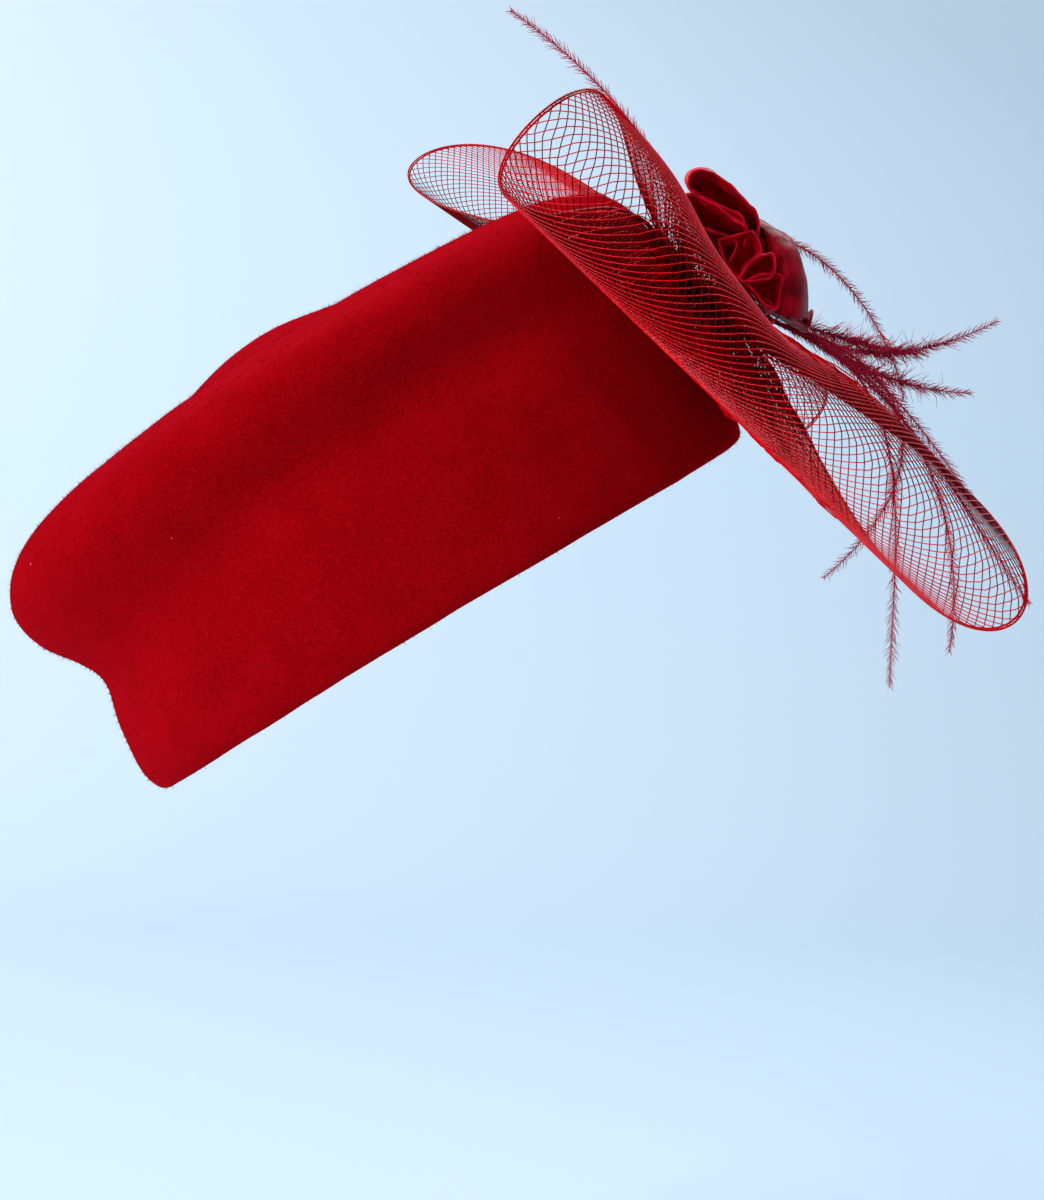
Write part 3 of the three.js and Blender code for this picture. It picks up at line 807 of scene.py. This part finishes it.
def foldPoint(row, along, across, seed):
    if "profile" in row:
        side, size = curveThrough(row["sides"], across)
        y, z = curveThrough(row["profile"], along)
        middle = row["middle"]
        here = Vector((side, middle[0] + (y - middle[0]) * size, middle[1] + (z - middle[1]) * size))
    else:
        here = curveThrough([curveThrough(line, along) for line in row["rows"]], across)
    broad = noise.noise(here * crush["broad"] + Vector((seed, 0, 0)))
    fine = noise.noise(here * crush["fine"] + Vector((0, seed, 0)))
    bend = crush["pullBend"] * noise.noise(here * crush["bendScale"])
    pull = math.sin(crush["pulls"] * across + crush["pullShift"] * seed + bend)
    depth = crush["depth"] * (broad + crush["fineShare"] * fine) + crush["pullDepth"] * pull
    return (here + Vector(crush["way"]) * depth) * millimetre


def petalPoint(row, along, across, seed):
    ruffle = rose["ruffle"]
    q = 2 * across - 1  # from -1 at one side of the petal to 1 at the other
    up = along * (1 - rose["round"] * q * q * along)
    spot = Vector([a * b for a, b in zip((q, along, seed), ruffle["noise"])])
    fold = math.sin(ruffle["waves"] * q + seed) * ruffle["share"] + noise.noise(spot)
    radius = rose["radius"] * (row["foot"] + (row["reach"] - row["foot"]) * up ** rose["cup"])
    radius += ruffle["depth"] * fold * along ** ruffle["power"]
    angle = math.radians(row["around"] + row["halfSpan"] * q * (rose["footSpan"] + rose["moreSpan"] * along))
    height = rose["height"] * (row["rise"] * up - max(0, up - rose["lip"]) ** 2)
    height += ruffle["lipDepth"] * math.sin(ruffle["lipWaves"] * q + 2 * seed) * along ** 2
    foot = rose["backing"] + bow["clearance"] + rose["seat"]
    return Vector((radius * math.cos(angle), radius * math.sin(angle), foot + height))


# The bud is one strip of satin rolled up.
def budPoint(along, across):
    bud = rose["bud"]
    turned = along * bud["turns"]
    angle = turned * 2 * math.pi
    radius = (bud["inner"] + bud["pitch"] * turned) * (1 + bud["flare"] * across)
    radius += bud["ripple"] * math.sin(bud["ripples"] * angle) * across
    height = bud["height"] * across * (bud["start"] - bud["slope"] * along)
    foot = rose["backing"] + bow["clearance"]
    return Vector((radius * math.cos(angle), radius * math.sin(angle), foot + height))


# The round of satin behind the rose, drawn into small gathers at its rim
def backingPoint(around, out):
    gathers = rose["gathers"]
    angle = 2 * math.pi * around
    drawnIn = gathers["rimDepth"] * out ** 4 * math.cos(gathers["rim"] * angle)
    radius = rose["backingRadius"] * (out - drawnIn)
    waves = gathers["waves"] * angle + 2 * noise.noise(Vector((3 * out, angle, 0)))
    height = rose["backing"] / 2 + gathers["waveDepth"] * out * math.cos(waves)
    return Vector((radius * math.cos(angle), radius * math.sin(angle), height))


# Gives a patch of satin its thickness on both sides and rounds it
def thicken(patch, rounded=True):
    addModifier(patch, "SOLIDIFY", thickness=rose["wall"], offset=0)
    if rounded:
        addModifier(patch, "SUBSURF", levels=1, render_levels=1)


# One petal, fold or roll of the rose. outsideOf is a height on the rose's axis that its faces look away from.
def makeSatin(name, grid, pointAt, finish, node, outsideOf=None):
    def layAt(x, y):
        return onRose @ pointAt(x, y)
    patch = layPatch(name, *grid, layAt)
    if outsideOf is not None:
        faceAway(patch, onRose @ Vector((0, 0, outsideOf)))
    thicken(patch)
    finishPiece(patch, finish, node)
    cutSize(layAt)


def makeBacking(finish):
    backing = layPatch("roseBacking", *rose["backingGrid"], lambda x, y: onRose @ backingPoint(x, y))
    thicken(backing, rounded=False)
    finishPiece(backing, finish, "rose_base")


# face is the satin's darker copy, its colour painted shade, and back is the lighter copy, its colour painted
# light
def makeRose(face, back):
    for k, (name, row) in enumerate(rose["plain"].items()):
        seed = k + roseSeeds["plain"]
        makeSatin(name, rose["petalGrid"], lambda x, y: petalPoint(row, y, x, seed), face, row["node"],
                  outsideOf=rose["height"])
    for k, (name, row) in enumerate(roseFolds.items()):
        seed = k + roseSeeds["folds"]
        folded = "profile" in row
        makeSatin(name, rose["foldGrid"], lambda x, y: foldPoint(row, x, y, seed), back if folded else face,
                  row["node"], outsideOf=None if folded else rose["heart"])
    makeSatin("roseBud", rose["budGrid"], budPoint, back, "rose_bud")
    makeBacking(face)


# Feathers. forward, up, left and swing are shares of the reach, leave and arrive degrees up from forward, and
# slack is a share of the way from head to tip. Some bunches have loose fluff on their strands too.
spray = {
    "reach": 0.100, "headRadius": 0.0024, "headHeight": 0.002, "seed": 3, "steps": 90,
    "quill": 0.0004, "quillTip": 0.000145, "quillSides": 5,
    "bunches": [
        {"name": "feathersTop", "node": "feathers_top", "around": 84, "fluff": 0, "strands": [
            dict(forward=0.11, up=1.06, left=0.04, swing=0, leave=58, arrive=100, slack=0.34),
        ]},
        {"name": "feathersLeft", "node": "feathers_left", "around": 4, "fluff": 0, "strands": [
            dict(forward=0.15, up=-0.69, left=0.15, swing=0.85, leave=18, arrive=-124, slack=0.55),
        ]},
        {"name": "feathersFront", "node": "feathers_front", "around": -38, "fluff": 300, "strands": [
            dict(forward=0.30, up=-0.63, left=0.15, swing=0.02, leave=-66, arrive=-50, slack=0.33),
            dict(forward=0.53, up=-0.71, left=0.12, swing=0.01, leave=-78, arrive=-18, slack=0.42),
            dict(forward=0.31, up=-0.81, left=0.06, swing=0, leave=-74, arrive=-46, slack=0.36),
        ]},
        {"name": "feathersLow", "node": "feathers_low", "around": -98, "fluff": 0, "strands": [
            dict(forward=-0.31, up=-1.35, left=-0.02, swing=0, leave=-62, arrive=-142, slack=0.38),
            dict(forward=-0.43, up=-0.89, left=-0.06, swing=0, leave=-58, arrive=176, slack=0.60),
            dict(forward=-0.52, up=-1.28, left=-0.10, swing=0, leave=-60, arrive=-135, slack=0.42),
            dict(forward=-0.02, up=-1.43, left=0.04, swing=0, leave=-66, arrive=-98, slack=0.36),
            dict(forward=0.07, up=-1.08, left=0.02, swing=0, leave=-60, arrive=-100, slack=0.36),
        ]},
    ],
}

# A barb leaves its quill at a lean, in degrees, and bends once: knee and past are the shares of its length
# before and after the bend. Barbs grow longer away from the strand's root and shorter again near its tip.
barb = {
    "radius": 0.00013, "tipRadius": 0.000052, "length": 0.0038, "step": 0.00026, "first": 0.05, "near": 0.01,
    "lean": 40, "leanSpread": 9, "rollSpread": 0.5, "knee": 0.55, "past": 0.45, "bend": 0.35, "loose": 0.14,
    "rootLength": 0.35, "growth": 2.2, "shortest": 0.55, "longest": 1.1,
    "fade": 0.45, "fadeFrom": 0.9, "fadeOver": 0.1,
}
fluff = {
    "middle": 0.56, "spread": 0.13, "first": 0.34, "last": 0.85, "ahead": 0.9, "wayLoose": 0.6,
    "shortest": 0.004, "longest": 0.008, "knee": 0.5, "loose": 0.35,
}
binding = {"turns": 7, "steps": 16, "radius": 0.6, "thread": 0.0003, "sides": 5}


def strandCurve(head, row):
    def heading(angle):
        return Vector((math.cos(math.radians(angle)), 0, math.sin(math.radians(angle))))
    tip = Vector((row["forward"], row["left"], row["up"])) * spray["reach"]
    hold = row["slack"] * (tip - head).length
    first = head + heading(row["leave"]) * hold + Vector((0, row["swing"] * spray["reach"], 0))
    second = tip - heading(row["arrive"]) * hold

    def point(s):
        r = 1 - s
        return head * r ** 3 + first * 3 * r * r * s + second * 3 * r * s * s + tip * s ** 3
    return point


def wander(draw, spread):
    return Vector([draw.gauss(0, spread) for _ in range(3)])


def drawBarbs(draw, curve, length):
    barbs = []
    steps = int(length / barb["step"])
    near = barb["near"]
    for k in range(steps):
        s = barb["first"] + (1 - barb["first"]) * k / steps
        root = curve(s)
        ahead = (curve(min(s + near, 1)) - curve(max(s - near, 0))).normalized()
        roll = draw.gauss(0, barb["rollSpread"]) + (0 if k % 2 else math.pi)
        flat = (Vector((0, 1, 0)) - ahead * ahead.y).normalized()
        out = ahead.cross(flat) * math.cos(roll) + flat * math.sin(roll)
        grown = min(1, barb["rootLength"] + barb["growth"] * s)
        grown *= draw.uniform(barb["shortest"], barb["longest"])
        reach = barb["length"] * grown * (1 - barb["fade"] * max(0, s - barb["fadeFrom"]) / barb["fadeOver"])
        lean = math.radians(barb["lean"] + draw.gauss(0, barb["leanSpread"]))
        way = ahead * math.cos(lean) + out * math.sin(lean)
        knee = root + way * reach * barb["knee"]
        bent = (way + ahead * barb["bend"] + wander(draw, barb["loose"])).normalized()
        barbs.append([onSpray @ root, onSpray @ knee, onSpray @ (knee + bent * reach * barb["past"])])
    return barbs


def drawFluff(draw, curve, count):
    hairs = []
    near = barb["near"]
    for _ in range(count):
        s = min(max(draw.gauss(fluff["middle"], fluff["spread"]), fluff["first"]), fluff["last"])
        root = curve(s)
        ahead = (curve(s + near) - curve(s - near)).normalized()
        way = (ahead * fluff["ahead"] + wander(draw, fluff["wayLoose"])).normalized()
        reach = draw.uniform(fluff["shortest"], fluff["longest"])
        knee = root + way * reach * fluff["knee"]
        bent = (way + wander(draw, fluff["loose"])).normalized()
        hairs.append([onSpray @ root, onSpray @ knee, onSpray @ (knee + bent * reach * (1 - fluff["knee"]))])
    return hairs


# The thread that binds a bunch's head beside the rim of the rose's backing
def makeBinding(name, head, feather):
    radius = spray["headRadius"] * binding["radius"]
    angles = [2 * math.pi * t / binding["steps"] for t in range(binding["steps"] + 1)]
    bound = []
    for k in range(binding["turns"]):
        rise = (k / (binding["turns"] - 1) - 0.5) * spray["headHeight"]
        ring = [Vector((rise, radius * math.cos(a), radius * math.sin(a))) for a in angles]
        bound.append([onSpray @ (head + p) for p in ring])
    threads = drawThreads(name + "Binding", bound, binding["thread"], sides=binding["sides"])
    finishPiece(threads, feather)


def makeSpray(feather):
    draw = random.Random(spray["seed"])
    middle = rose["backingRadius"] + bow["clearance"] + spray["headRadius"]
    for bunch in spray["bunches"]:
        name, turn = bunch["name"], math.radians(bunch["around"])
        head = Vector((rose["backing"] / 2, middle * math.cos(turn), middle * math.sin(turn)))
        quills, barbs = [], []
        for row in bunch["strands"]:
            curve = strandCurve(head, row)
            line = [curve(k / spray["steps"]) for k in range(spray["steps"] + 1)]
            quills.append([onSpray @ p for p in line])
            length = sum((b - a).length for a, b in zip(line, line[1:]))
            barbs += drawBarbs(draw, curve, length) + drawFluff(draw, curve, bunch["fluff"])
        shafts = drawThreads(name + "Quills", quills, spray["quill"], spray["quillTip"], spray["quillSides"])
        plume = drawThreads(name, barbs, barb["radius"], barb["tipRadius"])
        finishPiece(joinPieces(name, [plume, shafts]), feather, bunch["node"])
        makeBinding(name, head, feather)


# Stage and light
studio = {
    "floor": -0.53, "wall": 1.65, "bend": 0.45, "bendSteps": 12, "side": 3.2, "front": -2.6, "top": 2.6,
    "pale": (0.66, 0.80, 0.92), "sky": (0.80, 0.90, 1.0), "skyStrength": 0.46, "aim": (0.02, 0, 0.06),
    "lamps": {
        "keyLamp": {"place": (-0.95, -1.0, 0.15), "size": 0.7, "power": 13, "tone": (1.0, 0.98, 0.95)},
        "glintLamp": {"place": (-0.30, -0.75, 0.95), "size": 0.10, "power": 3.5, "tone": (1.0, 0.97, 0.95)},
        "backLamp": {"place": (0.45, 0.55, 1.05), "size": 0.7, "power": 11, "tone": (0.95, 0.98, 1.0)},
        "windowLamp": {
            "place": (-1.7, 0.3, 0.6), "size": 0.9, "power": 17, "tone": (1.0, 0.86, 0.74),
            "aim": (-0.5, 1.6, 0.3),
        },
    },
}


# A pale floor that bends up into a wall behind the hat
def setStage():
    deselect()
    bpy.ops.mesh.primitive_plane_add(size=1)
    floor = bpy.context.object
    floor.name = floor.data.name = "paleFloor"
    bend, steps = studio["bend"], studio["bendSteps"]
    for corner in floor.data.vertices:
        x = studio["side"] if corner.co.x > 0 else -studio["side"]
        corner.co = (x, studio["wall"] - bend if corner.co.y > 0 else studio["front"], studio["floor"])
    bpy.ops.object.mode_set(mode="EDIT")
    bpy.ops.mesh.select_mode(type="EDGE")
    bpy.ops.mesh.select_all(action="DESELECT")
    bpy.ops.object.mode_set(mode="OBJECT")
    for edge in floor.data.edges:
        edge.select = all(floor.data.vertices[k].co.y > 0 for k in edge.vertices)
    bpy.ops.object.mode_set(mode="EDIT")
    for k in range(steps):
        a, b = (math.radians(90 * t / steps) for t in (k, k + 1))
        step = (0, bend * (math.sin(b) - math.sin(a)), bend * (math.cos(a) - math.cos(b)))
        bpy.ops.mesh.extrude_region_move(TRANSFORM_OT_translate={"value": step})
    bpy.ops.mesh.extrude_region_move(TRANSFORM_OT_translate={"value": (0, 0, studio["top"])})
    bpy.ops.object.mode_set(mode="OBJECT")
    bpy.ops.object.shade_smooth()
    paper = newFinish("palePaper", Base_Color=(*studio["pale"], 1), Roughness=0.9, Specular_IOR_Level=0.1)
    floor.data.materials.append(paper)


def addLamp(name, lamp):
    deselect()
    bpy.ops.object.light_add(type="AREA", location=lamp["place"])
    light = bpy.context.object
    light.name = name
    light.data.shape = "DISK"
    light.data.size = lamp["size"]
    light.data.energy = lamp["power"]
    light.data.color = lamp["tone"]
    aim = Vector(lamp.get("aim", studio["aim"])) - Vector(lamp["place"])
    light.rotation_euler = aim.to_track_quat("-Z", "Y").to_euler()


def setLight():
    for name, lamp in studio["lamps"].items():
        addLamp(name, lamp)
    world = bpy.data.worlds.new("softSky")
    world.use_nodes = True
    sky = world.node_tree.nodes["Background"]
    sky.inputs["Color"].default_value = (*studio["sky"], 1)
    sky.inputs["Strength"].default_value = studio["skyStrength"]
    bpy.context.scene.world = world
    bpy.context.scene.view_settings.view_transform = "Standard"


setCamera()
print("camera set")
felt = feltFinish()
makeNap(makeCrown(felt), felt)
print("felt crown done")
# One nylon in three copies: the warp's dark red is painted shade, the weft's bright red is painted light, and
# the edge's red is darkened as painted shade
warp, litWeft, edge = (netFinish(kind) for kind in ("warp", "litWeft", "edge"))
makeLoop("netLoopRight", bow["right"], (warp, litWeft, edge), "crin_loop_right")
makeLoop("netLoopLeft", bow["left"], (warp, litWeft, edge), "crin_loop_left")
makePleats(netFinish("pleat"))
# The knot's core takes the warp's painted shade, and its winding takes the edge's painted shade
makeKnot(warp, edge)
print("bow done")
# The first satin's darker colour is painted shade, and the second's lighter colour is painted light
makeRose(satinFinish("shadedCrimsonSatin"), satinFinish("litCrimsonSatin"))
print("rose done")
makeSpray(featherFinish())
print("feathers done")
setStage()
setLight()
